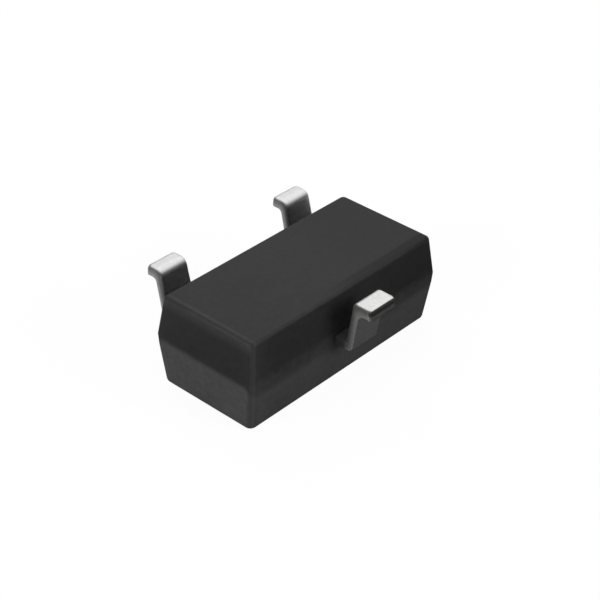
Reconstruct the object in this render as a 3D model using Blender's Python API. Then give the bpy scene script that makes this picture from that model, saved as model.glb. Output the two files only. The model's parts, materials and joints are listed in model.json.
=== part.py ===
# Three-lead surface-mount chip: a moulded body round a stamped, formed and plated leadframe, with the
# die and its bond wires inside. It lies on its marked face with its feet up: X runs along the row of
# leads, Y across the body, Z up from the marked face to the soles of the feet.
# Every size below is in millimetres or degrees, and one empty brings the whole chip to metres.

import math

import bmesh
import bpy
import numpy as np
from mathutils import Vector

MM = 0.001

# Moulded body. It is largest at the parting land, and each half draws in from there by its draft.
BODY_LENGTH = 2.89
BODY_WIDTH = 1.35
BODY_HEIGHT = 1.073
END_DRAFT_UPPER = 7.9
SIDE_DRAFT_UPPER = 6.9
END_DRAFT_LOWER = 6.0
SIDE_DRAFT_LOWER = 7.5
BODY_EDGE_RADIUS = 0.055
GATE_WIDTH = 0.34  # where the runner was broken off, below the land of the far end
GATE_HEIGHT = 0.11
GATE_INSET = 0.002  # of its broken face behind the land
GATE_ROOT = 0.05  # how far it runs on into the body

# Leadframe strip
LEAD_THICKNESS = 0.115
WEB_THICKNESS = 0.08  # forming draws the web thinner than the rest
LEAD_WIDTH = 0.40
LEAD_PLANE = 0.551  # middle of the strip over the marked face
LEAD_PITCH = 0.95  # leads 1 and 2 are one pitch each side of lead 3
LEAD_EDGE_RADIUS = 0.015  # rollover and plating along every stamped edge

# Gull-wing form, along the middle of the strip. Each side is formed by its own die, so leads 1 and 2
# at the rear lean a little more than lead 3 at the front.
LEAD_SPAN = 2.228  # over the sheared tips
REAR_SHOULDER_REACH = 0.133  # from the parting land to the first bend's corner
FRONT_SHOULDER_REACH = 0.195
REAR_WEB_LEAN = 13.0  # outward, from upright
FRONT_WEB_LEAN = 7.5
STAND_OFF = 0.029  # soles over the body's underside
SHOULDER_INNER_RADIUS = 0.05
SHOULDER_OUTER_RADIUS = 0.07
FOOT_INNER_RADIUS = 0.05
REAR_FOOT_OUTER_RADIUS = 0.11
FRONT_FOOT_OUTER_RADIUS = 0.06
TIP_CORNER_RADIUS = 0.04

# Bond posts at the inner ends of leads 1 and 2, and the paddle of lead 3
POST_COVER = 0.135  # compound between a post and the body's side
POST_DEPTH = 0.22
POST_REACH = 0.60  # from its lead's middle towards the chip's middle
PADDLE_COVER = 0.225
PADDLE_LENGTH = 1.20
PADDLE_TO_POST = 0.10
FRAME_CORNER_RADIUS = 0.03
LOCK_NOTCH_RADIUS = 0.035  # the notches that key each neck into the compound

# Die, its attach layer and the bond wires
DIE_LENGTH = 0.55
DIE_WIDTH = 0.42
DIE_THICKNESS = 0.15
DIE_OFFSET = 0.05  # towards lead 1, which leaves room on the paddle for the down bond
ATTACH_THICKNESS = 0.02
ATTACH_MARGIN = 0.02  # squeezed out round the die
PAD_INSET = 0.075
WIRE_RADIUS = 0.0125
BALL_RADIUS = 0.035
BALL_SEAT_RADIUS = 0.03
BALL_HEIGHT = 0.018
BALL_BULGE = 0.2  # how much of the ball's height each rounded shoulder takes
LOOP_HEIGHT = 0.11
LOOP_RISE_STEER = 1.4  # depth of the loop curve's two steering points, in loop heights
LOOP_FALL_STEER = 1.1
LOOP_LEAN = 0.55  # how far along the span the second of them lies
STITCH_LENGTH = 0.06
STITCH_FLATTENING = 0.5  # share of the wire's height pressed away at the stitch's end
STITCH_SPREAD = 1.5  # and how much wider that leaves it
STITCH_FROM_POST_END = 0.20

# Clearances that keep touching pieces apart
SEAT_GAP = 0.003
MOULD_GAP = 0.004
CUTTER_OVERRUN = 0.1  # of the body's cutters past its sides

BEND_CHORDS = 6
CORNER_CHORDS = 3
NOTCH_CHORDS = 6
BODY_EDGE_CHORDS = 5
LOOP_CHORDS = 14
BROAD = 0.9  # how level a face's normal is for it to be one of the stamping's two broad faces
TINY = 1e-5  # merge and cut tolerance

# Heights and places that follow from the sizes
LAND_LOW = LEAD_PLANE - LEAD_THICKNESS / 2
LAND_HIGH = LEAD_PLANE + LEAD_THICKNESS / 2
HALF_WIDTH = BODY_WIDTH / 2
HALF_LEAD = LEAD_WIDTH / 2
SOLE_HEIGHT = BODY_HEIGHT + STAND_OFF
POST_OUTER_EDGE = HALF_WIDTH - POST_COVER
POST_INNER_EDGE = POST_OUTER_EDGE - POST_DEPTH
PADDLE_FAR_EDGE = POST_INNER_EDGE - PADDLE_TO_POST
PADDLE_NEAR_EDGE = HALF_WIDTH - PADDLE_COVER
DIE_MIDDLE = Vector((-DIE_OFFSET, (PADDLE_FAR_EDGE - PADDLE_NEAR_EDGE) / 2, 0))
ATTACH_HIGH = LAND_LOW - SEAT_GAP
DIE_HIGH = ATTACH_HIGH - ATTACH_THICKNESS - SEAT_GAP
DIE_FACE = DIE_HIGH - DIE_THICKNESS


def material(name, colour, roughness, metallic):
    made = bpy.data.materials.new(name)
    made.use_nodes = True
    shader = made.node_tree.nodes["Principled BSDF"]
    shader.inputs["Base Color"].default_value = (*colour, 1)
    shader.inputs["Roughness"].default_value = roughness
    shader.inputs["Metallic"].default_value = metallic
    return made


def new_object(name, bm, where, finish=None):
    mesh = bpy.data.meshes.new(name)
    bm.to_mesh(mesh)
    bm.free()
    made = bpy.data.objects.new(name, mesh)
    made.parent = chip
    where.objects.link(made)
    if finish:
        mesh.materials.append(finish)
    else:
        made.hide_render = True
        made.display_type = "WIRE"
    return made


def slope(degrees):
    return math.tan(math.radians(degrees))


def arc(centre, radius, start, end, chords):
    angles = np.linspace(start, end, chords + 1)
    return [(centre[0] + radius * math.cos(a), centre[1] + radius * math.sin(a)) for a in angles]


def rounded(corners, radii, chords):
    # The line through the corners, with each one turned at its own radius
    points = []
    for i, (corner, radius) in enumerate(zip(corners, radii)):
        if not radius:
            points.append(corner)
            continue
        corner = Vector(corner)
        back = (Vector(corners[i - 1]) - corner).normalized()
        onward = (Vector(corners[(i + 1) % len(corners)]) - corner).normalized()
        half = back.angle(onward) / 2
        centre = corner + (back + onward).normalized() * radius / math.sin(half)
        first = corner + back * radius / math.tan(half) - centre
        last = corner + onward * radius / math.tan(half) - centre
        start = math.atan2(first.y, first.x)
        sweep = math.remainder(math.atan2(last.y, last.x) - start, 2 * math.pi)
        points += arc(centre, radius, start, start + sweep, chords)
    return points


def grown(loop, distance):
    # The closed outline with every side moved out by the distance
    points = [Vector(p) for p in loop]
    moved = []
    for i, point in enumerate(points):
        back = (point - points[i - 1]).normalized()
        onward = (points[(i + 1) % len(points)] - point).normalized()
        out_back = Vector((back.y, -back.x))
        out_onward = Vector((onward.y, -onward.x))
        bisector = (out_back + out_onward).normalized()
        moved.append(point + bisector * distance / bisector.dot(out_back))
    return moved


def mesh_of_curve(curve):
    # A curve's evaluated surface as a bmesh, with its caps joined to its sides
    guide = bpy.data.objects.new(curve.name, curve)
    cutters.objects.link(guide)
    evaluated = guide.evaluated_get(bpy.context.evaluated_depsgraph_get())
    mesh = bpy.data.meshes.new_from_object(evaluated)
    bm = bmesh.new()
    bm.from_mesh(mesh)
    bmesh.ops.remove_doubles(bm, verts=bm.verts, dist=TINY)
    bpy.data.objects.remove(guide)
    bpy.data.meshes.remove(mesh)
    return bm


def flat_plate(name, loop, thickness):
    # A stamping cut to a closed outline, with the middle of its thickness at Z = 0
    curve = bpy.data.curves.new(name, "CURVE")
    curve.dimensions = "2D"
    curve.fill_mode = "BOTH"
    curve.extrude = thickness / 2
    spline = curve.splines.new("POLY")
    spline.points.add(len(loop) - 1)
    for point, place in zip(spline.points, loop):
        point.co = (place[0], place[1], 0, 1)
    spline.use_cyclic_u = True
    bm = mesh_of_curve(curve)
    caps = [e for e in bm.edges if all(abs(f.normal.z) > BROAD for f in e.link_faces)]
    bmesh.ops.dissolve_edges(bm, edges=caps, use_verts=False)
    return bm


def strip_faces(shoulder_reach, web_lean, foot_outer_radius):
    # The strip's upper and lower faces from the body's side to the tip, as matched points of reach
    # from the chip's middle and height over the strip's plane
    rise = SOLE_HEIGHT - LEAD_THICKNESS / 2 - LEAD_PLANE
    shoulder = HALF_WIDTH + shoulder_reach
    heel = shoulder + rise * slope(web_lean)
    middle = [(HALF_WIDTH, 0), (shoulder, 0), (heel, rise), (LEAD_SPAN / 2, rise)]
    # From the middle line's corners to either face's: square to the level runs, and along them
    aside = LEAD_THICKNESS / 2
    along = WEB_THICKNESS / 2 / math.cos(math.radians(web_lean)) - aside * slope(web_lean)
    upper = [
        (middle[0][0], aside),
        (middle[1][0] - along, aside),
        (middle[2][0] - along, rise + aside),
        (middle[3][0], rise + aside),
    ]
    lower = [
        (middle[0][0], -aside),
        (middle[1][0] + along, -aside),
        (middle[2][0] + along, rise - aside),
        (middle[3][0], rise - aside),
    ]
    upper = rounded(upper, (0, SHOULDER_INNER_RADIUS, foot_outer_radius, 0), BEND_CHORDS)
    lower = rounded(lower, (0, SHOULDER_OUTER_RADIUS, FOOT_INNER_RADIUS, 0), BEND_CHORDS)
    return np.array(upper), np.array(lower)


def strip_stations(upper, lower):
    # How far along the flat blank each pair of points lies: the mean of the two faces' lengths
    steps = [np.linalg.norm(np.diff(face, axis=0), axis=1) for face in (upper, lower)]
    return HALF_WIDTH + np.concatenate(([0], np.cumsum((steps[0] + steps[1]) / 2)))


def neck(blank_end):
    # The lead's own strip beyond the frame's inner edge, from its right side round the tip to its left
    sides = (
        (HALF_LEAD, HALF_WIDTH),
        (HALF_LEAD, blank_end),
        (-HALF_LEAD, blank_end),
        (-HALF_LEAD, HALF_WIDTH),
    )
    tip = rounded(sides, (0, TIP_CORNER_RADIUS, TIP_CORNER_RADIUS, 0), CORNER_CHORDS)[1:-1]
    notch_at = (POST_OUTER_EDGE + HALF_WIDTH) / 2
    right = arc((HALF_LEAD, notch_at), LOCK_NOTCH_RADIUS, 1.5 * math.pi, 0.5 * math.pi, NOTCH_CHORDS)
    left = arc((-HALF_LEAD, notch_at), LOCK_NOTCH_RADIUS, 0.5 * math.pi, -0.5 * math.pi, NOTCH_CHORDS)
    return right + tip + left


def frame_end(corners):
    # The inner end of a lead, with its corners eased, from the neck's left side round to its right
    ends = [(-HALF_LEAD, HALF_WIDTH), *corners, (HALF_LEAD, HALF_WIDTH)]
    radii = (0, *[FRAME_CORNER_RADIUS] * len(corners), 0)
    return rounded(ends, radii, CORNER_CHORDS)[1:-1]


def post_outline(blank_end):
    # Lead 1 seen from its soles: the post turns towards the chip's middle
    corners = [
        (-HALF_LEAD, POST_INNER_EDGE),
        (POST_REACH, POST_INNER_EDGE),
        (POST_REACH, POST_OUTER_EDGE),
        (HALF_LEAD, POST_OUTER_EDGE),
    ]
    return frame_end(corners) + neck(blank_end)


def paddle_outline(blank_end):
    half = PADDLE_LENGTH / 2
    corners = [
        (-HALF_LEAD, PADDLE_NEAR_EDGE),
        (-half, PADDLE_NEAR_EDGE),
        (-half, -PADDLE_FAR_EDGE),
        (half, -PADDLE_FAR_EDGE),
        (half, PADDLE_NEAR_EDGE),
        (HALF_LEAD, PADDLE_NEAR_EDGE),
    ]
    return frame_end(corners) + neck(blank_end)


def mirrored(loop):
    return [(-x, y) for x, y in reversed([tuple(point) for point in loop])]


def formed_lead(name, outline, left_handed, form, finish):
    # Stamp the flat blank, ease its edges, then bend it along the matched faces
    upper, lower = strip_faces(*form)
    stations = strip_stations(upper, lower)
    loop = outline(stations[-1])
    if left_handed:
        loop = mirrored(loop)
    bm = flat_plate(name, loop, LEAD_THICKNESS)
    rims = [e for e in bm.edges if any(abs(f.normal.z) > BROAD for f in e.link_faces)]
    bmesh.ops.bevel(bm, geom=rims, offset=LEAD_EDGE_RADIUS, segments=2, profile=0.5, affect="EDGES")
    for station in stations[:-1]:
        everything = bm.verts[:] + bm.edges[:] + bm.faces[:]
        bmesh.ops.bisect_plane(bm, geom=everything, dist=TINY, plane_co=(0, station, 0), plane_no=(0, 1, 0))
    for vert in bm.verts:
        if vert.co.y > HALF_WIDTH:
            share = vert.co.z / LEAD_THICKNESS + 0.5
            low = [np.interp(vert.co.y, stations, lower[:, k]) for k in (0, 1)]
            high = [np.interp(vert.co.y, stations, upper[:, k]) for k in (0, 1)]
            vert.co.y = low[0] + (high[0] - low[0]) * share
            vert.co.z = low[1] + (high[1] - low[1]) * share
    return new_object(name, bm, parts, finish)


def lead_cutter(name, outline, left_handed):
    # The flat blank grown by the mould gap: what the compound leaves open round a lead
    loop = outline(HALF_WIDTH + CUTTER_OVERRUN)
    if left_handed:
        loop = mirrored(loop)
    bm = flat_plate(name, grown(loop, MOULD_GAP), LEAD_THICKNESS + 2 * MOULD_GAP)
    return new_object(name, bm, cutters)


def block(name, length, width, low, high, grow, where, finish=None):
    # A rectangular piece of the die stack over the paddle, grown each way for a cutter
    bm = bmesh.new()
    bmesh.ops.create_cube(bm, size=1)
    size = (length + 2 * grow, width + 2 * grow, high - low + 2 * grow)
    bmesh.ops.scale(bm, vec=size, verts=bm.verts)
    made = new_object(name, bm, where, finish)
    made.location = DIE_MIDDLE + Vector((0, 0, (low + high) / 2))
    return made


def bond_wire(name, pad, landing, grow, where, finish=None):
    # Ball on the die, an arched loop, and a stitch pressed flat on the frame
    flat = Vector((*(landing - pad).xy, 0)).normalized()
    neck_start = pad - Vector((0, 0, SEAT_GAP + BALL_HEIGHT))
    stitch_height = LAND_LOW - SEAT_GAP - WIRE_RADIUS
    stitch = Vector((landing.x, landing.y, stitch_height))
    stitch_start = stitch - flat * STITCH_LENGTH
    level_stitch = Vector((*stitch_start.xy, neck_start.z))
    steer = (
        neck_start,
        neck_start - Vector((0, 0, LOOP_RISE_STEER * LOOP_HEIGHT)),
        neck_start.lerp(level_stitch, LOOP_LEAN) - Vector((0, 0, LOOP_FALL_STEER * LOOP_HEIGHT)),
        stitch_start,
    )
    # The ball's depth under the pad and its radius, from its seat to the neck
    ball = (
        (SEAT_GAP - grow, BALL_SEAT_RADIUS),
        (SEAT_GAP + BALL_BULGE * BALL_HEIGHT, BALL_RADIUS),
        (SEAT_GAP + (1 - BALL_BULGE) * BALL_HEIGHT + grow, BALL_RADIUS),
        (SEAT_GAP + BALL_HEIGHT + grow, WIRE_RADIUS),
    )
    places = [pad - Vector((0, 0, depth)) for depth, radius in ball]
    sizes = [radius for depth, radius in ball]
    for t in np.linspace(0, 1, LOOP_CHORDS + 1)[1:]:
        weights = ((1 - t) ** 3, 3 * (1 - t) ** 2 * t, 3 * (1 - t) * t * t, t**3)
        places.append(sum((p * w for w, p in zip(weights, steer)), Vector()))
        sizes.append(WIRE_RADIUS)
    places.append(stitch + flat * grow)
    sizes.append(WIRE_RADIUS)
    curve = bpy.data.curves.new(name, "CURVE")
    curve.dimensions = "3D"
    curve.bevel_depth = 1
    curve.bevel_resolution = 2
    curve.use_fill_caps = True
    spline = curve.splines.new("POLY")
    spline.points.add(len(places) - 1)
    for point, place, size in zip(spline.points, places, sizes):
        point.co = (*place, 1)
        point.radius = size + grow
    bm = mesh_of_curve(curve)
    seat = LAND_LOW - SEAT_GAP
    side = Vector((-flat.y, flat.x, 0))
    for vert in bm.verts:
        pressed = min(1, max(0, (vert.co - stitch_start).dot(flat) / STITCH_LENGTH))
        across = (vert.co - stitch).dot(side)
        vert.co += side * across * (STITCH_SPREAD - 1) * pressed
        vert.co.z += (seat - vert.co.z) * STITCH_FLATTENING * pressed
    return new_object(name, bm, where, finish)


def gate_remnant():
    # The stub that the runner leaves at the parting, flat where it was broken off
    bm = bmesh.new()
    bmesh.ops.create_cube(bm, size=1)
    bmesh.ops.scale(bm, vec=(GATE_ROOT, GATE_WIDTH, GATE_HEIGHT), verts=bm.verts)
    made = new_object("gate_guide", bm, guides)
    made.location = (BODY_LENGTH / 2 - GATE_INSET - GATE_ROOT / 2, 0, LAND_LOW - GATE_HEIGHT / 2)
    return made


def moulded_body(finish):
    bm = bmesh.new()
    bmesh.ops.create_cube(bm, size=1)
    bmesh.ops.scale(bm, vec=(BODY_LENGTH, BODY_WIDTH, BODY_HEIGHT), verts=bm.verts)
    bmesh.ops.translate(bm, vec=(0, 0, BODY_HEIGHT / 2), verts=bm.verts)
    for height in (LAND_LOW, LAND_HIGH):
        everything = bm.verts[:] + bm.edges[:] + bm.faces[:]
        bmesh.ops.bisect_plane(bm, geom=everything, dist=TINY, plane_co=(0, 0, height), plane_no=(0, 0, 1))
    for vert in bm.verts:
        above = max(0, vert.co.z - LAND_HIGH)
        below = max(0, LAND_LOW - vert.co.z)
        end_in = above * slope(END_DRAFT_UPPER) + below * slope(END_DRAFT_LOWER)
        side_in = above * slope(SIDE_DRAFT_UPPER) + below * slope(SIDE_DRAFT_LOWER)
        vert.co.x -= math.copysign(end_in, vert.co.x)
        vert.co.y -= math.copysign(side_in, vert.co.y)
    bm.normal_update()
    square = [e for e in bm.edges if e.calc_face_angle() > math.radians(45)]
    bmesh.ops.bevel(
        bm, geom=square, offset=BODY_EDGE_RADIUS, segments=BODY_EDGE_CHORDS, profile=0.5, affect="EDGES"
    )
    body = new_object("moulded_body", bm, parts, finish)
    gate = body.modifiers.new("gate remnant", "BOOLEAN")
    gate.object = gate_remnant()
    gate.operation = "UNION"
    gate.solver = "EXACT"
    pocket = body.modifiers.new("pocket round the inserts", "BOOLEAN")
    pocket.operand_type = "COLLECTION"
    pocket.collection = cutters
    pocket.operation = "DIFFERENCE"
    pocket.solver = "EXACT"
    return body


for old in list(bpy.data.objects):
    bpy.data.objects.remove(old)

parts = bpy.data.collections.new("three_lead_chip")
cutters = bpy.data.collections.new("cutters")
guides = bpy.data.collections.new("guides")
for group in (parts, cutters, guides):
    bpy.context.scene.collection.children.link(group)
chip = bpy.data.objects.new("chip", None)
chip.scale = (MM, MM, MM)
parts.objects.link(chip)

compound = material("mould compound", (0.03, 0.03, 0.031), 0.5, 0)
tinned = material("tinned copper", (0.66, 0.66, 0.65), 0.35, 1)
silver_paste = material("silver die attach", (0.55, 0.54, 0.52), 0.6, 0.6)
silicon = material("silicon", (0.12, 0.13, 0.15), 0.2, 0.3)
gold = material("gold", (0.9, 0.62, 0.22), 0.2, 1)

# Leads 1 and 2 stand at the rear, lead 3 with its paddle comes out at the front
rear_form = (REAR_SHOULDER_REACH, REAR_WEB_LEAN, REAR_FOOT_OUTER_RADIUS)
front_form = (FRONT_SHOULDER_REACH, FRONT_WEB_LEAN, FRONT_FOOT_OUTER_RADIUS)
lead_places = (
    ("lead_1", post_outline, False, rear_form, (-LEAD_PITCH, 0, LEAD_PLANE), 0),
    ("lead_2", post_outline, True, rear_form, (LEAD_PITCH, 0, LEAD_PLANE), 0),
    ("lead_3", paddle_outline, False, front_form, (0, 0, LEAD_PLANE), math.pi),
)
for lead_name, lead_outline, left_handed, form, place, turn in lead_places:
    for made in (
        formed_lead(lead_name, lead_outline, left_handed, form, tinned),
        lead_cutter(lead_name + "_cutter", lead_outline, left_handed),
    ):
        made.location = place
        made.rotation_euler.z = turn

attach_length = DIE_LENGTH + 2 * ATTACH_MARGIN
attach_width = DIE_WIDTH + 2 * ATTACH_MARGIN
attach_low = ATTACH_HIGH - ATTACH_THICKNESS
block("die_attach", attach_length, attach_width, attach_low, ATTACH_HIGH, 0, parts, silver_paste)
block("die_attach_cutter", attach_length, attach_width, attach_low, ATTACH_HIGH, MOULD_GAP, cutters)
block("die", DIE_LENGTH, DIE_WIDTH, DIE_FACE, DIE_HIGH, 0, parts, silicon)
block("die_cutter", DIE_LENGTH, DIE_WIDTH, DIE_FACE, DIE_HIGH, MOULD_GAP, cutters)

pad_x = DIE_LENGTH / 2 - PAD_INSET
pad_y = DIE_WIDTH / 2 - PAD_INSET
post_x = LEAD_PITCH - POST_REACH + STITCH_FROM_POST_END
post_y = (POST_OUTER_EDGE + POST_INNER_EDGE) / 2
down_bond_x = (DIE_MIDDLE.x + DIE_LENGTH / 2 + PADDLE_LENGTH / 2 + STITCH_LENGTH) / 2
bonds = (
    ("bond_wire_1", (-pad_x, pad_y), (-post_x, post_y)),
    ("bond_wire_2", (pad_x, pad_y), (post_x, post_y)),
    ("bond_wire_3", (pad_x, -pad_y), (down_bond_x, DIE_MIDDLE.y - pad_y)),
)
for wire_name, pad_place, landing_place in bonds:
    pad_point = DIE_MIDDLE + Vector((*pad_place, DIE_FACE))
    landing_point = Vector((*landing_place, LAND_LOW))
    bond_wire(wire_name, pad_point, landing_point, 0, parts, gold)
    bond_wire(wire_name + "_cutter", pad_point, landing_point, MOULD_GAP, cutters)

moulded_body(compound)

for piece in parts.objects:
    if piece.type == "MESH":
        piece.data.shade_smooth()
        piece.data.set_sharp_from_angle(angle=math.radians(35))
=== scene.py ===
# Three-lead surface-mount chip lying on its marked face, with its feet in the air
import json
import math

import bmesh
import bpy
import numpy as np
from mathutils import Matrix, Vector, noise

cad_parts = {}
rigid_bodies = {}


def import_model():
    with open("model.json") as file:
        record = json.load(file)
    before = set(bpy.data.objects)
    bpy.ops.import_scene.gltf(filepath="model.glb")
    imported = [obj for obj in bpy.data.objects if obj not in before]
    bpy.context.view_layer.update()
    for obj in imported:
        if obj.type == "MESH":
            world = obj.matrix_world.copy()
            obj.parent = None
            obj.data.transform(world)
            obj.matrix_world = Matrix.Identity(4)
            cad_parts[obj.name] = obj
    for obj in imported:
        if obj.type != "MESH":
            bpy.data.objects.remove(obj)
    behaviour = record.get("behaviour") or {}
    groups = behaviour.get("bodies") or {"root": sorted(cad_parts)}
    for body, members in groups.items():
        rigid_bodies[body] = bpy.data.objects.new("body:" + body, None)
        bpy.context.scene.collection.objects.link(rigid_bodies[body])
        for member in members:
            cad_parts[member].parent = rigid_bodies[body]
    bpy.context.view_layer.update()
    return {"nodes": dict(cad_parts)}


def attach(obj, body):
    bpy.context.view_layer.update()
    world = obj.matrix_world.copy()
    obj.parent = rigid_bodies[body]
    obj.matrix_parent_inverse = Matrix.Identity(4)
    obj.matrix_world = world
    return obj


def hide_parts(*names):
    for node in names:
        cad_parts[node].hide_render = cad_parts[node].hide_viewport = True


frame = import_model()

millimetre = 0.001  # shapes are worked out in millimetres, and brought to metres at the end
onePoint = 1e-5  # points that are nearer than this are one
oneHeight = 1e-4


def slope(degrees):
    return math.tan(math.radians(degrees))


def smoothStep(value):
    value = min(1, max(0, value))
    return value * value * (3 - 2 * value)


class Signal:
    # A shader socket that takes part in plain Python sums
    def __init__(self, tree, socket=None):
        self.tree = tree
        self.socket = socket

    def node(self, kind, settings, inputs, output=0):
        made = self.tree.nodes.new("ShaderNode" + kind)
        for name, value in settings.items():
            setattr(made, name, value)
        for name, value in inputs.items():
            if isinstance(value, Signal):
                self.tree.links.new(value.socket, made.inputs[name])
            else:
                made.inputs[name].default_value = value
        return Signal(self.tree, made.outputs[output])

    def sum(self, operation, *values):
        return self.node("Math", {"operation": operation}, dict(enumerate(values)))

    def __add__(self, other):
        return self.sum("ADD", self, other)

    def __radd__(self, other):
        return self.sum("ADD", other, self)

    def __sub__(self, other):
        return self.sum("SUBTRACT", self, other)

    def __rsub__(self, other):
        return self.sum("SUBTRACT", other, self)

    def __mul__(self, other):
        return self.sum("MULTIPLY", self, other)

    def __rmul__(self, other):
        return self.sum("MULTIPLY", other, self)

    def __truediv__(self, other):
        return self.sum("DIVIDE", self, other)

    def size(self):
        return self.sum("ABSOLUTE", self)

    def between(self, low, high):
        # 0 below the first value, 1 above the second, and soft between them
        settings = {"interpolation_type": "SMOOTHSTEP"}
        return self.node("MapRange", settings, {"Value": self, "From Min": low, "From Max": high})

    def closeTo(self, at, reach):
        # 1 beside a value, fading to 0 between the two distances from it
        return 1 - (self - at).size().between(*reach)

    def mix(self, atZero, atOne):
        return atZero + self * (atOne - atZero)


def newMaterial(name, finish, paint):
    made = bpy.data.materials.new(name)
    made.use_nodes = True
    made.diffuse_color = (*finish["colour"], 1)
    tree = made.node_tree
    shader = tree.nodes["Principled BSDF"]
    start = Signal(tree)
    place = start.node("TexCoord", {}, {}, 3)
    place = start.node("VectorMath", {"operation": "SCALE"}, {0: place, "Scale": 1 / millimetre})
    for socket, value in finish.get("fixed", {}).items():
        shader.inputs[socket].default_value = value
    for socket, value in paint(start, place, finish).items():
        if isinstance(value, Signal):
            tree.links.new(value.socket, shader.inputs[socket])
        else:
            shader.inputs[socket].default_value = value
    return made


def axes(start, vector):
    return [start.node("SeparateXYZ", {}, {0: vector}, k) for k in range(3)]


def facings(start):
    # How squarely the surface looks along each axis
    return [axis.size() for axis in axes(start, start.node("NewGeometry", {}, {}, 1))]


def bumped(start, height, bump):
    strength, depth = bump
    inputs = {"Strength": strength, "Distance": depth * millimetre, "Height": height}
    return start.node("Bump", {}, inputs)


def grains(start, place, scale, detail=2.0, roughness=0.5):
    # Noise about 0.5
    inputs = {"Vector": place, "Scale": scale, "Detail": detail, "Roughness": roughness}
    return start.node("TexNoise", {}, inputs)


def tinted(start, colour, tone):
    # The colour with its lightness multiplied by a tone
    return start.node("VectorMath", {"operation": "SCALE"}, {0: colour, "Scale": tone})


def blended(start, share, first, second):
    settings = {"data_type": "RGBA", "blend_type": "MIX"}
    inputs = {0: share}
    for place, value in ((6, first), (7, second)):
        inputs[place] = value if isinstance(value, Signal) else (*value, 1)
    return start.node("Mix", settings, inputs, 2)


camera = {
    "azimuth": -48.9019,  # the near end and the front side both show
    "elevation": 34.4486,
    "roll": 1.6582,
    "distance": 17.3587,
    "aside": 0.0178,
    "above": 0.5141,
    "lens": 97.009,
    "sensor": 36.0,
    "clip": (1, 4000),
}


def placeCamera(c):
    turn, rise, roll = (math.radians(c[k]) for k in ("azimuth", "elevation", "roll"))
    outward = math.cos(rise)
    back = Vector((math.sin(turn) * outward, -math.cos(turn) * outward, math.sin(rise)))
    level = Vector((0, 0, 1)).cross(back).normalized()
    upright = back.cross(level)
    right = level * math.cos(roll) + upright * math.sin(roll)
    up = upright * math.cos(roll) - level * math.sin(roll)
    made = bpy.data.objects.new("camera", bpy.data.cameras.new("camera"))
    made.data.lens = c["lens"]
    made.data.sensor_width = c["sensor"]
    made.data.clip_start, made.data.clip_end = [distance * millimetre for distance in c["clip"]]
    where = (right * c["aside"] + up * c["above"] + back * c["distance"]) * millimetre
    turned = Matrix((right, up, back)).transposed().to_4x4()
    made.matrix_world = Matrix.Translation(where) @ turned
    bpy.context.scene.collection.objects.link(made)
    bpy.context.scene.camera = made


placeCamera(camera)
print("camera placed")


studio = {
    "floorSize": 400,
    "floorDrop": 0.003,  # keeps the floor and the face that lies on it apart
    "floorColour": (0.6, 0.6, 0.6),
    "floorWhite": 0.90,  # how much of the floor is the plain white of the background
    "whiteLevel": 1.055,
    "skyLevel": 0.28,
    "lamps": (
        # name, place, size, power
        ("backLight", (30, 90, 110), 110, 0.048),
        ("endFill", (-120, 10, 40), 90, 0.10),
        ("sideLight", (35, -115, 65), 80, 0.099),
        ("farFill", (90, 70, -5), 90, 0.09),  # only lights what the camera doesn't see
    ),
    "flagLevel": 0.03,  # what gloss sees of the dark cards
    "hoodRadius": 150,
    "hoodSegments": (48, 24),
    "openings": (
        # where the hood opens on the soft light: direction, edge and how far it opens
        ((0.47, 0.20, 0.86), (0.42, 0.92), 1.0),
        ((-0.57, 0.54, 0.62), (0.75, 0.97), 0.35),
    ),
    "matRadius": 9,
    "matSegments": 48,
    "matFade": (4, 8),
    "matHeight": 0.002,
    "matCover": (0.968, 0.80),  # at the front and at the rear
    "matEdge": (-1.0, 1.6),
}


def seenDirectly(start):
    # 1 for what the camera sees straight on, in gloss or through glass
    kinds = ("Camera", "Glossy", "Transmission")
    rays = [start.node("LightPath", {}, {}, "Is " + kind + " Ray") for kind in kinds]
    return start.sum("MINIMUM", rays[0] + rays[1] + rays[2], 1.0)


def stagePiece(name, bm, surface):
    mesh = bpy.data.meshes.new(name)
    bm.to_mesh(mesh)
    bm.free()
    made = bpy.data.objects.new(name, mesh)
    bpy.context.scene.collection.objects.link(made)
    material = bpy.data.materials.new(name)
    material.use_nodes = True
    tree = material.node_tree
    tree.nodes.remove(tree.nodes["Principled BSDF"])
    tree.links.new(surface(Signal(tree)).socket, tree.nodes["Material Output"].inputs["Surface"])
    mesh.materials.append(material)
    return made


def onlyInGloss(made):
    for setting in ("camera", "diffuse", "transmission", "volume_scatter", "shadow"):
        setattr(made, "visible_" + setting, False)


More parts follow.
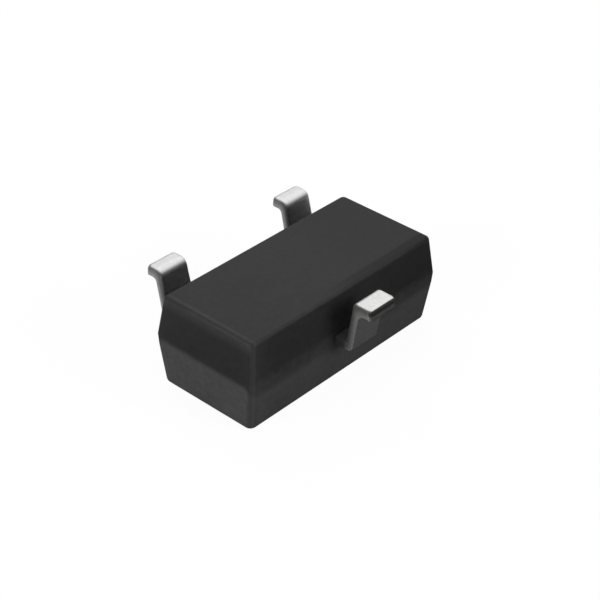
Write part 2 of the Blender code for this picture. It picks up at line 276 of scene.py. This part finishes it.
def makeStudio(s):
    world = bpy.data.worlds.new("studio")
    bpy.context.scene.world = world
    world.use_nodes = True
    start = Signal(world.node_tree)
    level = seenDirectly(start).mix(s["skyLevel"], 1)
    background = world.node_tree.nodes["Background"]
    background.inputs["Color"].default_value = (1, 1, 1, 1)
    world.node_tree.links.new(level.socket, background.inputs["Strength"])

    def paper(start):
        matte = start.node("BsdfDiffuse", {}, {"Color": (*s["floorColour"], 1)})
        white = start.node("Emission", {}, {"Color": (1, 1, 1, 1), "Strength": s["whiteLevel"]})
        share = seenDirectly(start) * s["floorWhite"]
        return start.node("MixShader", {}, {0: share, 1: matte, 2: white})

    def card(start, cover):
        clear = start.node("BsdfTransparent", {}, {})
        dark = start.node("Emission", {}, {"Color": (1, 1, 1, 1), "Strength": s["flagLevel"]})
        return start.node("MixShader", {}, {0: cover, 1: clear, 2: dark})

    def hoodSurface(start):
        place = start.node("TexCoord", {}, {}, 3)
        away = start.node("VectorMath", {"operation": "NORMALIZE"}, {0: place})
        cover = 1.0
        for towards, edge, opened in s["openings"]:
            inputs = {0: away, 1: Vector(towards).normalized()}
            share = start.node("VectorMath", {"operation": "DOT_PRODUCT"}, inputs, 1)
            cover = cover - share.between(*edge) * opened
        return card(start, start.sum("MAXIMUM", cover, 0.0))

    def matSurface(start):
        place = start.node("TexCoord", {}, {}, 3)
        across = axes(start, place)[1] / millimetre
        away = start.node("VectorMath", {"operation": "LENGTH"}, {0: place}, 1) / millimetre
        cover = across.between(*s["matEdge"]).mix(*s["matCover"])
        return card(start, cover * (1 - away.between(*s["matFade"])))

    bm = bmesh.new()
    bmesh.ops.create_grid(bm, x_segments=1, y_segments=1, size=s["floorSize"] / 2 * millimetre)
    bmesh.ops.translate(bm, vec=(0, 0, -s["floorDrop"] * millimetre), verts=bm.verts)
    stagePiece("floor", bm, paper)
    bm = bmesh.new()
    around, upward = s["hoodSegments"]
    radius = s["hoodRadius"] * millimetre
    bmesh.ops.create_uvsphere(bm, u_segments=around, v_segments=upward, radius=radius)
    onlyInGloss(stagePiece("hood", bm, hoodSurface))
    bm = bmesh.new()
    radius = s["matRadius"] * millimetre
    bmesh.ops.create_circle(bm, cap_ends=True, segments=s["matSegments"], radius=radius)
    bmesh.ops.translate(bm, vec=(0, 0, s["matHeight"] * millimetre), verts=bm.verts)
    onlyInGloss(stagePiece("dark mat", bm, matSurface))

    for name, place, size, power in s["lamps"]:
        light = bpy.data.lights.new(name, "AREA")
        light.shape = "DISK"
        light.size = size * millimetre
        light.energy = power
        lamp = bpy.data.objects.new(name, light)
        lamp.visible_glossy = False  # gloss shows the white background and the dark cards
        lamp.location = Vector(place) * millimetre
        lamp.rotation_euler = (-lamp.location).to_track_quat("-Z", "Y").to_euler()
        bpy.context.scene.collection.objects.link(lamp)


makeStudio(studio)
bpy.context.scene.view_settings.view_transform = "Standard"
print("studio lit")


def meshOf(bm, name):
    mesh = bpy.data.meshes.new(name)
    bm.to_mesh(mesh)
    bm.free()
    return mesh


def score(bm, where, along):
    # New edges where a plane crosses the mesh
    everything = bm.verts[:] + bm.edges[:] + bm.faces[:]
    bmesh.ops.bisect_plane(bm, geom=everything, dist=onePoint, plane_co=where, plane_no=along)


def roundEdges(bm, edges, radius, steps):
    bmesh.ops.bevel(bm, geom=edges, offset=radius, segments=steps, profile=0.5, affect="EDGES")


def workedOut(name, mesh, modifiers):
    # The mesh after the modifiers, still in millimetres
    stand = bpy.data.objects.new(name, mesh)
    bpy.context.scene.collection.objects.link(stand)
    for kind, settings in modifiers:
        modifier = stand.modifiers.new(kind, kind)
        for setting, value in settings.items():
            setattr(modifier, setting, value)
    graph = bpy.context.evaluated_depsgraph_get()
    evaluated = stand.evaluated_get(graph)
    made = bpy.data.meshes.new_from_object(
        evaluated, preserve_all_data_layers=True, depsgraph=graph)
    bpy.data.objects.remove(stand)
    return made


def finishedPiece(name, mesh, material, sharpAngle, replaced):
    # Smooth shading that keeps broad faces flat, metres, and the place in the frame
    mesh.shade_smooth()
    mesh.set_sharp_from_angle(angle=math.radians(sharpAngle))
    flatter = ("WEIGHTED_NORMAL", {"keep_sharp": True, "mode": "FACE_AREA", "weight": 50})
    final = workedOut(name + " blank", mesh, [flatter])
    final.transform(Matrix.Scale(millimetre, 4))
    final.name = name
    final.materials.clear()
    final.materials.append(material)
    made = bpy.data.objects.new(name, final)
    bpy.context.scene.collection.objects.link(made)
    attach(made, "root")
    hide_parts(replaced)
    return made


def arc(centre, radius, start, end, chords):
    angles = np.linspace(start, end, chords + 1)
    return [(centre[0] + radius * math.cos(a), centre[1] + radius * math.sin(a)) for a in angles]


def rounded(corners, radii, chords):
    # The line through the corners, with each one turned at its own radius
    points = []
    for i, (corner, radius) in enumerate(zip(corners, radii)):
        if not radius:
            points.append(corner)
            continue
        corner = Vector(corner)
        back = (Vector(corners[i - 1]) - corner).normalized()
        onward = (Vector(corners[(i + 1) % len(corners)]) - corner).normalized()
        half = back.angle(onward) / 2
        centre = corner + (back + onward).normalized() * radius / math.sin(half)
        first = corner + back * radius / math.tan(half) - centre
        last = corner + onward * radius / math.tan(half) - centre
        begin = math.atan2(first.y, first.x)
        sweep = math.remainder(math.atan2(last.y, last.x) - begin, 2 * math.pi)
        points += arc(centre, radius, begin, begin + sweep, chords)
    return points


lead = {
    "thickness": 0.115,
    "width": 0.40,
    "plane": 0.551,
    "pitch": 0.95,
    "edgeSteps": 5,
    "broadFace": 0.9,
    "scores": (-0.3, -0.1, 0.1, 0.3),  # lengthwise, as shares of the width
    "sharpAngle": 40,
    "burr": 0.035,  # left hanging from the sheared tip, most at one corner
    "burrShares": (0.3, 0.1, 0.4),  # along all of the tip, where the corner's begins, and unevenly
    "burrLength": 0.06,
    "burrGrain": 9.0,
    "span": 2.228,
    "soleHeight": 1.102,
    "shoulderRadii": (0.05, 0.07),  # inside and outside
    "bendSteps": 14,
    "cornerSteps": 8,
    "notchRadius": 0.035,
    "frameRadius": 0.03,
    "bodySide": 0.675,
    "postOuter": 0.54,
    "postInner": 0.32,
    "postReach": 0.60,
    "paddleFar": 0.22,
    "paddleNear": 0.45,
    "paddleLength": 1.20,
    # footIn and footOut are the radii of the foot's bend, and rolled and sharp those of the
    # long edges on the sole's side, which the punch rolled over, and on the other
    "forms": {
        "rear": {"reach": 0.154, "lean": 13.0, "web": 0.091, "footIn": 0.05, "footOut": 0.105,
                 "tip": 0.055, "rolled": 0.045, "sharp": 0.018},
        "front": {"reach": 0.1775, "lean": 7.5, "web": 0.097, "footIn": 0.10, "footOut": 0.06,
                  "tip": 0.045, "rolled": 0.036, "sharp": 0.012},
    },
}


def stripFaces(p, form):
    # The strip's upper and lower faces from the body's side to the tip, as matched points
    shape = p["forms"][form]
    rise = p["soleHeight"] - p["thickness"] / 2 - p["plane"]
    shoulder = p["bodySide"] + shape["reach"]
    heel = shoulder + rise * slope(shape["lean"])
    middle = [(p["bodySide"], 0), (shoulder, 0), (heel, rise), (p["span"] / 2, rise)]
    aside = p["thickness"] / 2
    along = shape["web"] / 2 / math.cos(math.radians(shape["lean"])) - aside * slope(shape["lean"])
    upper = [
        (middle[0][0], aside),
        (middle[1][0] - along, aside),
        (middle[2][0] - along, rise + aside),
        (middle[3][0], rise + aside),
    ]
    lower = [
        (middle[0][0], -aside),
        (middle[1][0] + along, -aside),
        (middle[2][0] + along, rise - aside),
        (middle[3][0], rise - aside),
    ]
    shoulderIn, shoulderOut = p["shoulderRadii"]
    upper = rounded(upper, (0, shoulderIn, shape["footOut"], 0), p["bendSteps"])
    lower = rounded(lower, (0, shoulderOut, shape["footIn"], 0), p["bendSteps"])
    return np.array(upper), np.array(lower)


def stripStations(p, upper, lower):
    steps = [np.linalg.norm(np.diff(face, axis=0), axis=1) for face in (upper, lower)]
    return p["bodySide"] + np.concatenate(([0], np.cumsum((steps[0] + steps[1]) / 2)))


def blankOutline(p, kind, blankEnd, tipRadius):
    # The flat blank's outline: the inner end, then the neck's right side, the tip and its left side
    half = p["width"] / 2
    side = p["bodySide"]
    if kind == "post":
        corners = [
            (-half, p["postInner"]),
            (p["postReach"], p["postInner"]),
            (p["postReach"], p["postOuter"]),
            (half, p["postOuter"]),
        ]
    else:
        halfPaddle = p["paddleLength"] / 2
        corners = [
            (-half, p["paddleNear"]),
            (-halfPaddle, p["paddleNear"]),
            (-halfPaddle, -p["paddleFar"]),
            (halfPaddle, -p["paddleFar"]),
            (halfPaddle, p["paddleNear"]),
            (half, p["paddleNear"]),
        ]
    ends = [(-half, side), *corners, (half, side)]
    inner = rounded(ends, (0, *[p["frameRadius"]] * len(corners), 0), p["cornerSteps"])[1:-1]
    sides = ((half, side), (half, blankEnd), (-half, blankEnd), (-half, side))
    tip = rounded(sides, (0, tipRadius, tipRadius, 0), p["cornerSteps"])[1:-1]
    notchAt = (p["postOuter"] + side) / 2
    right = arc((half, notchAt), p["notchRadius"], 1.5 * math.pi, 0.5 * math.pi, p["cornerSteps"])
    left = arc((-half, notchAt), p["notchRadius"], 0.5 * math.pi, -0.5 * math.pi, p["cornerSteps"])
    return inner + right + tip + left


def formedLead(name, kind, leftHanded, form, place, turned, p, material):
    upper, lower = stripFaces(p, form)
    stations = stripStations(p, upper, lower)
    shape = p["forms"][form]
    loop = blankOutline(p, kind, stations[-1], shape["tip"])
    if leftHanded:
        loop = [(-x, y) for x, y in reversed([tuple(point) for point in loop])]
    bm = bmesh.new()
    levels = (-p["thickness"] / 2, p["thickness"] / 2)
    rings = [[bm.verts.new((x, y, z)) for x, y in loop] for z in levels]
    bm.faces.new(reversed(rings[0]))
    bm.faces.new(rings[1])
    for i in range(len(loop)):
        j = (i + 1) % len(loop)
        bm.faces.new((rings[0][i], rings[0][j], rings[1][j], rings[1][i]))
    for facing, radius in ((1, shape["rolled"]), (-1, shape["sharp"])):
        bm.normal_update()
        broad = p["broadFace"]
        rims = [e for e in bm.edges if any(f.normal.z * facing > broad for f in e.link_faces)]
        roundEdges(bm, rims, radius, p["edgeSteps"])
    for station in stations[:-1]:
        score(bm, (0, station, 0), (0, 1, 0))
    for across in p["scores"]:
        score(bm, (across * p["width"], 0, 0), (1, 0, 0))
    everywhere, begins, uneven = p["burrShares"]
    for vert in bm.verts:
        if vert.co.z < 0:
            near = smoothStep(1 - (stations[-1] - vert.co.y) / p["burrLength"])
            corner = smoothStep(vert.co.x / p["width"] + begins)
            grain = noise.noise((vert.co.x * p["burrGrain"], place[0], turned))
            vert.co.z -= p["burr"] * near * (everywhere + corner + grain * uneven)
    through = bm.verts.layers.float.new("through")  # 0 on the lower face and 1 on the upper
    for vert in bm.verts:
        share = vert.co.z / p["thickness"] + 0.5
        vert[through] = share
        if vert.co.y > p["bodySide"]:
            low = [np.interp(vert.co.y, stations, lower[:, k]) for k in (0, 1)]
            high = [np.interp(vert.co.y, stations, upper[:, k]) for k in (0, 1)]
            vert.co.y = low[0] + (high[0] - low[0]) * share
            vert.co.z = low[1] + (high[1] - low[1]) * share
    turn = Matrix.Translation(place) @ Matrix.Rotation(turned, 4, "Z")
    bmesh.ops.transform(bm, matrix=turn, verts=bm.verts)
    mesh = meshOf(bm, name)
    return finishedPiece(name + "_formed", mesh, material, p["sharpAngle"], name)

tin = {
    "colour": (0.87, 0.87, 0.865),
    "broadGrain": 5.0,
    "broadTone": (0.94, 1.0),
    "mottleGrain": 34.0,
    "mottleDetail": (3.0, 0.6),
    "mottleTone": 0.42,
    "mottleRoughness": 0.12,
    "fineGrain": 90.0,
    "bump": (0.12, 0.002),  # strength and depth
    "tipColour": (0.12, 0.118, 0.115),  # bare where the tip was sheared off
    "tipFacing": ((0.2, 0.6), (0.3, 0.6)),  # along the lead, and not upward
    "tipRoughness": 0.1,
    "tipInset": (0.009, 0.003),
    "frontInset": 0.008,  # how much further in the front tip is worn
    "frontEdge": (1.0, -1.0),
    "cornerInset": (0.05, 0.02),
    "tornTone": 3.2,  # the lower, torn part of the cut
    "tornDepth": (0.058, 0.085),
    "tornGrain": 0.04,
    "bleedAndShadeTone": 0.15,  # under the thin resin that creeps out along the lead, darkened enough to be painted shade near the body too
    "bleedAndShadeReach": (0.77, 0.87),
    "bleedAndShadeGrain": 0.06,
    "roughness": 0.38,
    "sideRoughness": 0.6,  # on the stamped sides
    "sideMetal": 0.905,
    # painted shade: the stamped sides darker still under the bleed
    "sideBleedShade": 0.1,
    "sideFacing": (0.4, 0.9),
    "shadedSides": (0.0, 1.0),  # painted shade across the stamped sides, darkest at the upper face
    "shadedSidesTone": 0.3,
}


def paintTin(start, place, f):
    broad = grains(start, place, f["broadGrain"])
    mottle = grains(start, place, f["mottleGrain"], *f["mottleDetail"]) - 0.5
    y, z = axes(start, place)[1:]
    nx, ny, nz = facings(start)
    side = nx.between(*f["sideFacing"])
    # The sheared end, and the corners beside it
    reached = y.size() + y.between(*f["frontEdge"]) * f["frontInset"]
    insets = (f["tipInset"], f["cornerInset"])
    ends, corners = [reached.between(*(lead["span"] / 2 - k for k in inset)) for inset in insets]
    along, upward = f["tipFacing"]
    corners = corners * ny.between(*along) * (1 - nz.between(*upward))
    tip = start.sum("MAXIMUM", ends, corners)
    depth = lead["soleHeight"] - z + mottle * f["tornGrain"]
    torn = depth.between(*f["tornDepth"]).mix(1, f["tornTone"])
    # Resin bleed near the body, darker than bleed alone as painted shade on the shaded shoulders
    bleedAndShade = 1 - (y.size() + mottle * f["bleedAndShadeGrain"]).between(*f["bleedAndShadeReach"])
    bleedAndShadeFactor = 1 - bleedAndShade * (1 - f["bleedAndShadeTone"] - side * f["sideBleedShade"])
    through = start.node("Attribute", {"attribute_name": "through"}, {}, 2)
    # Painted shade across the stamped sides, growing towards the upper face
    sideShade = side * (1 - bleedAndShade) * through.between(*f["shadedSides"])
    tone = broad.mix(*f["broadTone"]) + mottle * f["mottleTone"]
    tone = tone * bleedAndShadeFactor * sideShade.mix(1, f["shadedSidesTone"])
    plated, sheared = tinted(start, f["colour"], tone), tinted(start, f["tipColour"], torn)
    rough = side.mix(f["roughness"], f["sideRoughness"]) + mottle * f["mottleRoughness"]
    return {
        "Base Color": blended(start, tip, plated, sheared),
        "Metallic": side.mix(1, f["sideMetal"]),
        "Roughness": rough + tip * f["tipRoughness"],
        "Normal": bumped(start, grains(start, place, f["fineGrain"]), f["bump"]),
    }


leadTin = newMaterial("tinned copper", tin, paintTin)
leads = (
    # name, inner end, whether it is mirrored, form, place and turn
    ("lead_1", "post", False, "rear", (-lead["pitch"], 0, lead["plane"]), 0),
    ("lead_2", "post", True, "rear", (lead["pitch"], 0, lead["plane"]), 0),
    ("lead_3", "paddle", False, "front", (0, 0, lead["plane"]), math.pi),
)
for leadRow in leads:
    formedLead(*leadRow, lead, leadTin)
print("leads formed")


body = {
    "length": 2.89,
    "width": 1.35,
    "height": 1.061,
    "landLow": 0.4935,
    "landHigh": 0.6085,
    "endDrafts": (5.7, 6.9),  # below and above the land
    "sideDrafts": (6.7, 6.9),
    "cornerRadii": (0.078, 0.055),  # of the four upright corners, below and above the land
    "edgeRadii": (0.05, 0.035),  # round the marked face and round the underside
    "edgeSteps": 8,
    "squareFrom": 45,  # degrees between the faces of an edge that is rounded
    "uprightRise": 0.01,
    "landRadius": 0.03,
    "landSteps": 3,
    "sharpAngle": 35,
    "gate": (0.05, 0.34, 0.11),  # the remnant on the far end, where the runner was broken off
    "gateInset": 0.002,
    "mouldGap": 0.004,
}


def grownNode(name, distance):
    # A CAD node's mesh in millimetres, with its surface moved out by the distance
    bm = bmesh.new()
    bm.from_mesh(frame["nodes"][name].data)
    bmesh.ops.scale(bm, vec=(1 / millimetre,) * 3, verts=bm.verts)
    bmesh.ops.remove_doubles(bm, verts=bm.verts, dist=onePoint)
    bm.normal_update()
    moved = [(vert, vert.co + vert.normal * distance) for vert in bm.verts]
    for vert, to in moved:
        vert.co = to
    return meshOf(bm, name + " pocket")


def gateStub(b):
    bm = bmesh.new()
    bmesh.ops.create_cube(bm, size=1)
    bmesh.ops.scale(bm, vec=b["gate"], verts=bm.verts)
    outward = b["length"] / 2 - b["gateInset"] - b["gate"][0] / 2
    upward = b["landLow"] - b["gate"][2] / 2
    bmesh.ops.translate(bm, vec=(outward, 0, upward), verts=bm.verts)
    return meshOf(bm, "gate stub")


def flatSides(b, height):
    # Half the body's length and width at a height
    above = max(0, height - b["landHigh"])
    below = max(0, b["landLow"] - height)
    return [b[size] / 2 - below * slope(drafts[0]) - above * slope(drafts[1]) for size, drafts in (
        ("length", b["endDrafts"]), ("width", b["sideDrafts"]))]


def liesAt(edge, height):
    return all(abs(vert.co.z - height) < oneHeight for vert in edge.verts)


def draftedBlock(b):
    bm = bmesh.new()
    bmesh.ops.create_cube(bm, size=1)
    bmesh.ops.scale(bm, vec=(b["length"], b["width"], b["height"]), verts=bm.verts)
    bmesh.ops.translate(bm, vec=(0, 0, b["height"] / 2), verts=bm.verts)
    heights = (b["landLow"], b["landHigh"])
    for height in heights:
        score(bm, (0, 0, height), (0, 0, 1))
    for vert in bm.verts:
        for k, half in enumerate(flatSides(b, vert.co.z)):
            vert.co[k] = math.copysign(half, vert.co[k])
    lowerRadius, upperRadius = b["cornerRadii"]
    markedRadius, undersideRadius = b["edgeRadii"]
    for radius, level in ((upperRadius, None), (markedRadius, 0), (undersideRadius, b["height"])):
        bm.normal_update()
        square = [e for e in bm.edges if e.calc_face_angle() > math.radians(b["squareFrom"])]
        if level is None:
            rise = b["uprightRise"]
            square = [e for e in square if abs(e.verts[0].co.z - e.verts[1].co.z) > rise]
        else:
            square = [e for e in square if liesAt(e, level)]
        roundEdges(bm, square, radius, b["edgeSteps"])
        if level is None:
            # The lower half's corners are rounder
            for vert in bm.verts:
                if vert.co.z < b["landHigh"] - b["uprightRise"]:
                    for k, half in enumerate(flatSides(b, vert.co.z)):
                        corner = math.copysign(half, vert.co[k])
                        vert.co[k] = corner + (vert.co[k] - corner) * lowerRadius / upperRadius
    land = [e for e in bm.edges if any(liesAt(e, height) for height in heights)]
    roundEdges(bm, land, b["landRadius"], b["landSteps"])
    return meshOf(bm, "drafted block")


def mouldedBody(b, material):
    pockets = bpy.data.collections.new("pockets")
    bpy.context.scene.collection.children.link(pockets)
    for name in frame["nodes"]:
        if name != "moulded_body":
            grown = grownNode(name, b["mouldGap"])
            pockets.objects.link(bpy.data.objects.new(name + " pocket", grown))
    stub = bpy.data.objects.new("gate stub", gateStub(b))
    bpy.context.scene.collection.objects.link(stub)
    joined = {"object": stub, "operation": "UNION", "solver": "EXACT"}
    cut = {"operand_type": "COLLECTION", "collection": pockets}
    cut.update(operation="DIFFERENCE", solver="EXACT")
    mesh = workedOut("body blank", draftedBlock(b), [("BOOLEAN", joined), ("BOOLEAN", cut)])
    for used in (*pockets.objects, stub):
        bpy.data.objects.remove(used)
    bpy.data.collections.remove(pockets)
    name = "moulded_body"
    return finishedPiece("body_moulding", mesh, material, b["sharpAngle"], name)

compound = {
    "colour": (0.0205, 0.0205, 0.0207),  # the underside's half, darker and glossier
    "markedColour": (0.0595, 0.0595, 0.06),  # the marked half, lighter and rougher
    "markedCorner": 0.09,  # its rounding towards the land and the upright corners
    "markedMargin": 0.035,
    "markedRise": (0.07, 0.0),  # how far up the land it comes, on the ends and on the long sides
    "markedBlur": (0.045, 0.13),
    "markedSideShade": 0.8,  # painted shade: the marked half's lightness on the long sides
    "roughness": 0.36,
    "markedRoughness": 0.6,
    "fineRoughness": 0.06,
    "grains": (70.0, 14.0, 3.0),  # fine, patches and clouds
    "grainDetail": (3.0, 0.6),
    "grainTones": (0.4, 0.55, 0.25),
    "edgeGrain": 0.05,
    "bump": (0.15, 0.003),  # strength and depth
    "nearReach": (-0.5, 0.5),  # from the near end to the far one
    "edgeHighlight": 0.013,  # how much lighter the painted highlight on the rounded edges is
    "edgeHighlightFrom": (0.02, 0.2),
    "edgeHighlightUpright": 0.1,  # the share that the upright corners have of it
    "edgeHighlightRear": (0.0, 0.6),
    "edgeHighlightFar": (0.9, 1.35),
    "shadeStripAt": 0.07,  # a painted shade strip inside the underside's front edge
    "shadeStripWidth": (0.03, 0.07),
    "shadeStripRear": (-0.3, 0.3),
    "shadeStripTone": 0.6,
    "rimHighlightAt": 0.062,  # a painted highlight line on the underside, in from the near end
    "rimHighlightWidth": (0.006, 0.025),
    "rimHighlightDepth": (0.01, 0.03),
    "rimHighlightTone": 0.012,
    "highlightBandDepth": (0.03, 0.15),  # the painted highlight band down from it
    "highlightBandInset": (0.004, 0.02),
    "highlightBandTone": 0.014,
    "cornerHighlightReach": (-0.1, 0.4),  # painted highlight on the upright corners
    "cornerHighlightFar": (-0.5, 1.0),
    "cornerHighlightSide": 0.5,
    "cornerHighlightTone": 0.0075,
    "cornerHighlightLines": ((0.042, 0.0075), (0.068, 0.002)),  # painted highlight lines: place and tone, on the sides and ends
    "highlightLineWidth": (0.004, 0.022),
    "highlightLineFacing": (0.5, 0.85),
    "seamHighlightDrop": 0.02,  # a painted highlight line along the land, below its upper edge
    "seamHighlightWidth": (0.0, 0.1),
    "seamHighlightGrain": 3,
    "seamHighlightTone": 0.009,
    "farShadeReach": (-0.2, 1.3),  # painted shade: the underside's half darker towards the far end
    "farShade": (0.3, 0.31),  # on the underside and on the long sides
    "fixed": {"Specular IOR Level": 0.18},
}


def paintCompound(start, place, f):
    scales = f["grains"]
    fine, patch, cloud = [grains(start, place, scale, *f["grainDetail"]) - 0.5 for scale in scales]
    x, y, z = axes(start, place)
    nx, ny, nz = facings(start)
    near = 1 - x.between(*f["nearReach"])
    # How far a point is in from the drafted ends and sides, and from the nearest upright corner
    low = start.sum("MAXIMUM", body["landLow"] - z, 0.0)
    high = start.sum("MAXIMUM", z - body["landHigh"], 0.0)
    inward = [
        body[size] / 2 - low * slope(drafts[0]) - high * slope(drafts[1]) - axis.size()
        for size, drafts, axis in (
            ("length", body["endDrafts"], x), ("width", body["sideDrafts"], y))
    ]
    aside = start.sum("MAXIMUM", *inward)
    # The marked half is a rounded panel on each of its faces
    rise, blur = [ny.mix(*f[name]) for name in ("markedRise", "markedBlur")]
    depths = (rise + body["landLow"] - z, aside - f["markedMargin"])
    gaps = [start.sum("MAXIMUM", f["markedCorner"] - depth, 0.0) for depth in depths]
    edge = start.sum("SQRT", gaps[0] * gaps[0] + gaps[1] * gaps[1]) - f["markedCorner"]
    marked = 1 - ((edge + patch * f["edgeGrain"]) / blur).between(-1.0, 1.0)
    # Painted shade: the marked half made darker on the long sides
    marked = marked * ny.mix(1, f["markedSideShade"])
    # Painted highlight along the rounded edges, kept to the near end and the front
    squarest = start.sum("MAXIMUM", start.sum("MAXIMUM", nx, ny), nz)
    edgeHighlight = (1 - squarest).between(*f["edgeHighlightFrom"]) * (1 + cloud) * f["edgeHighlight"]
    edgeHighlight = edgeHighlight * (f["edgeHighlightUpright"] + nz)
    edgeHighlight = edgeHighlight * (1 - y.between(*f["edgeHighlightRear"])) * (1 - x.between(*f["edgeHighlightFar"]))
    # Painted highlight line and band along the near end of the underside
    drop = body["height"] - z
    rimHighlight = inward[0].closeTo(f["rimHighlightAt"], f["rimHighlightWidth"]) * (1 - drop.between(*f["rimHighlightDepth"])) * near
    highlightBand = 1 - (drop + patch * f["edgeGrain"]).between(*f["highlightBandDepth"])
    highlightBand = highlightBand * (1 - inward[0].between(*f["highlightBandInset"]))
    paintedHighlights = edgeHighlight + (rimHighlight * f["rimHighlightTone"] + highlightBand * f["highlightBandTone"]) * (1 + patch)
    # Painted highlights on the upright corners, with two lines down each near one, and the line
    # along the land
    upright = (1 - aside.between(*f["cornerHighlightReach"])) * (1 - nz) * (f["cornerHighlightSide"] + ny)
    upright = upright * (1 - x.between(*f["cornerHighlightFar"]))
    # Painted highlight line along the land on the long sides
    seamHighlight = z.closeTo(body["landHigh"] - f["seamHighlightDrop"], f["seamHighlightWidth"]) * ny
    seamHighlight = seamHighlight * (1 + patch * f["seamHighlightGrain"])
    paintedHighlights = paintedHighlights + upright * f["cornerHighlightTone"] + seamHighlight * f["seamHighlightTone"]
    for inset, facing, (lineAt, lineTone) in zip(inward, (ny, nx), f["cornerHighlightLines"]):
        line = inset.closeTo(lineAt, f["highlightLineWidth"]) * facing.between(*f["highlightLineFacing"])
        paintedHighlights = paintedHighlights + line * near * lineTone
    tone = 1
    for grain, weight in zip((fine, patch, cloud), f["grainTones"]):
        tone = tone + grain * weight
    # Painted shade, darker towards the far end
    farShade = x.between(*f["farShadeReach"]) * ny.mix(*f["farShade"])
    # Painted shade strip inside the underside's front edge, on the far half
    shadeStrip = inward[1].closeTo(f["shadeStripAt"], f["shadeStripWidth"]) * nz * (1 - near)
    shadeStrip = shadeStrip * (1 - y.between(*f["shadeStripRear"]))
    upper = tinted(start, f["colour"], 1 - (farShade + shadeStrip * f["shadeStripTone"]))
    colour = tinted(start, blended(start, marked, upper, f["markedColour"]), tone)
    rough = marked.mix(f["roughness"], f["markedRoughness"]) + fine * f["fineRoughness"]
    return {
        "Base Color": blended(start, paintedHighlights, colour, (1, 1, 1)),
        "Roughness": rough,
        "Normal": bumped(start, fine, f["bump"]),
    }


mouldedBody(body, newMaterial("mould compound", compound, paintCompound))
print("body moulded")

inner = {
    "paste": {
        "colour": (0.55, 0.54, 0.52),
        "roughness": 0.55,
        "grain": 60.0,
        "tone": (0.8, 1.2),
        "flakeGrain": 110.0,
        "bump": (0.3, 0.003),
        "fixed": {"Metallic": 0.6},
    },
    "silicon": {
        "colour": (0.10, 0.11, 0.13),
        "roughness": (0.18, 0.38),  # of the circuit and of its pads
        "faceHeight": (0.3180, 0.3200),
        "blockOffset": 0.37,
        "blocks": {
            "Scale": 9.0,
            "Mortar Size": 0.03,
            "Color1": (0.16, 0.14, 0.20, 1),
            "Color2": (0.10, 0.14, 0.16, 1),
            "Mortar": (0.30, 0.30, 0.32, 1),
        },
        "pads": ((-0.25, 0.02), (0.15, 0.02), (0.15, -0.25)),
        "padColour": (0.8, 0.8, 0.8),
        "padReach": (0.0355, 0.0375),
        "padMetal": 0.9,
    },
    "gold": {
        "colour": (0.94, 0.68, 0.27),
        "roughness": 0.2,
        "grain": 40.0,
        "tone": (0.93, 1.07),
        "fixed": {"Metallic": 1.0},
    },
}


def paintPaste(start, place, f):
    flake = start.node("TexVoronoi", {}, {"Vector": place, "Scale": f["flakeGrain"]}, 0)
    colour = tinted(start, f["colour"], grains(start, place, f["grain"]).mix(*f["tone"]))
    bump = bumped(start, flake, f["bump"])
    return {"Base Color": colour, "Roughness": f["roughness"], "Normal": bump}


def paintSilicon(start, place, f):
    across, along, height = axes(start, place)
    pads = 0.0
    for x, y in f["pads"]:
        pad = across.closeTo(x, f["padReach"]) * along.closeTo(y, f["padReach"])
        pads = start.sum("MAXIMUM", pads, pad)
    face = 1 - height.between(*f["faceHeight"])
    pads = pads * face
    inputs = {"Vector": place, **f["blocks"]}
    blocks = start.node("TexBrick", {"offset": f["blockOffset"]}, inputs)
    circuit = blended(start, face, f["colour"], blocks)
    return {
        "Base Color": blended(start, pads, circuit, f["padColour"]),
        "Metallic": pads * f["padMetal"],
        "Roughness": pads.mix(*f["roughness"]),
    }


def paintGold(start, place, f):
    colour = tinted(start, f["colour"], grains(start, place, f["grain"]).mix(*f["tone"]))
    return {"Base Color": colour, "Roughness": f["roughness"]}


paste = newMaterial("silver die attach", inner["paste"], paintPaste)
silicon = newMaterial("silicon", inner["silicon"], paintSilicon)
gold = newMaterial("gold", inner["gold"], paintGold)
carried = {"die_attach": paste, "die": silicon}
carried.update(bond_wire_1=gold, bond_wire_2=gold, bond_wire_3=gold)
for name, material in carried.items():
    for materialSlot in frame["nodes"][name].material_slots:
        materialSlot.material = material
print("inside dressed")
